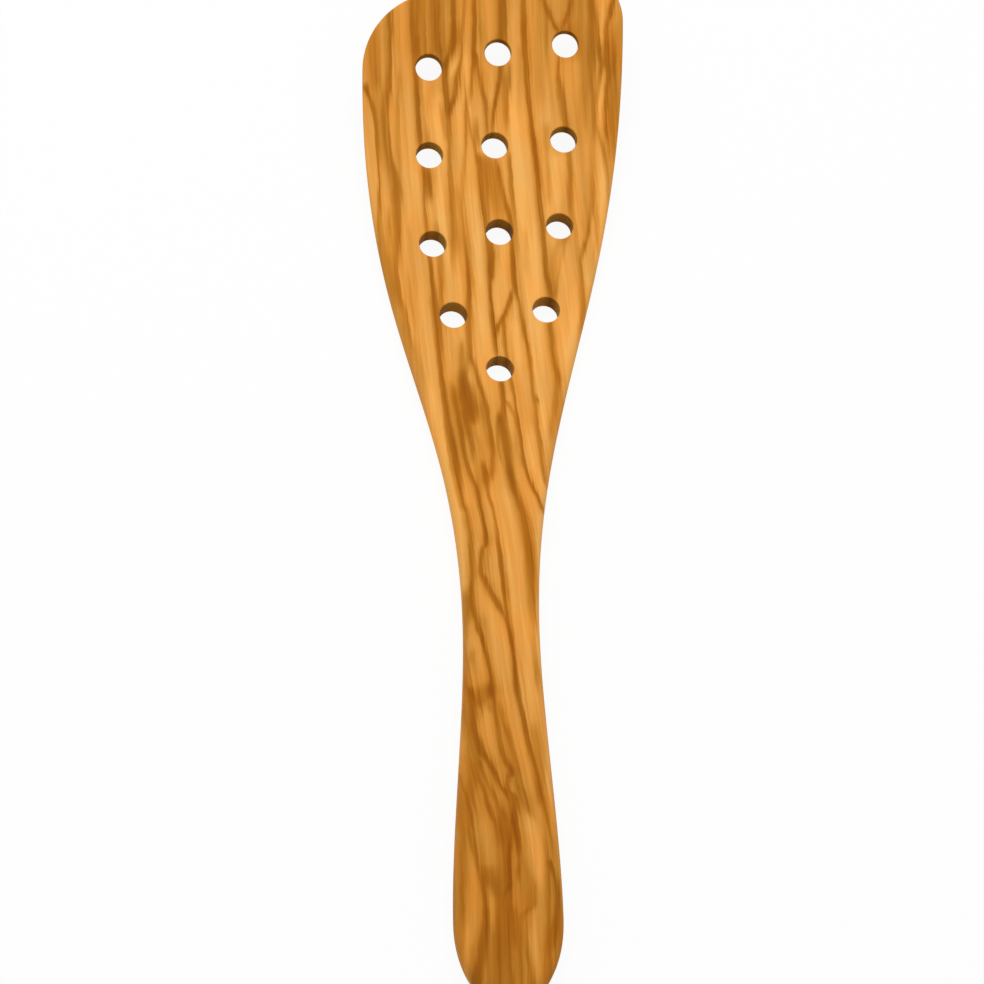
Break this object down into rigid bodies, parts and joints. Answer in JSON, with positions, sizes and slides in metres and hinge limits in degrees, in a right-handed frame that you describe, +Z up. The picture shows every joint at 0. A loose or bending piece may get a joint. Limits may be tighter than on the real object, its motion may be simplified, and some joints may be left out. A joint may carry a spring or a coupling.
{
  "type": "perforated spatula",
  "caption": "One-piece wooden kitchen spatula with a slim rounded handle, a thin blade that curls up to a slanted tip, and rows of round drain holes.",
  "frame": {"origin": "under the middle of the spatula's box, on the plane that the flat back of its handle rests on", "axes": "+Y from the butt of the handle to the tip, +X across to the right seen from above, +Z up, the way the tip curls"},
  "size_m": [0.0788, 0.3176, 0.0218],
  "materials": {
    "olive_wood": "oiled olive wood, satin, with dark wavy streaks along the grain"
  },
  "bodies": {
    "root": {"spatula": "olive_wood"}
  },
  "joints": []
}
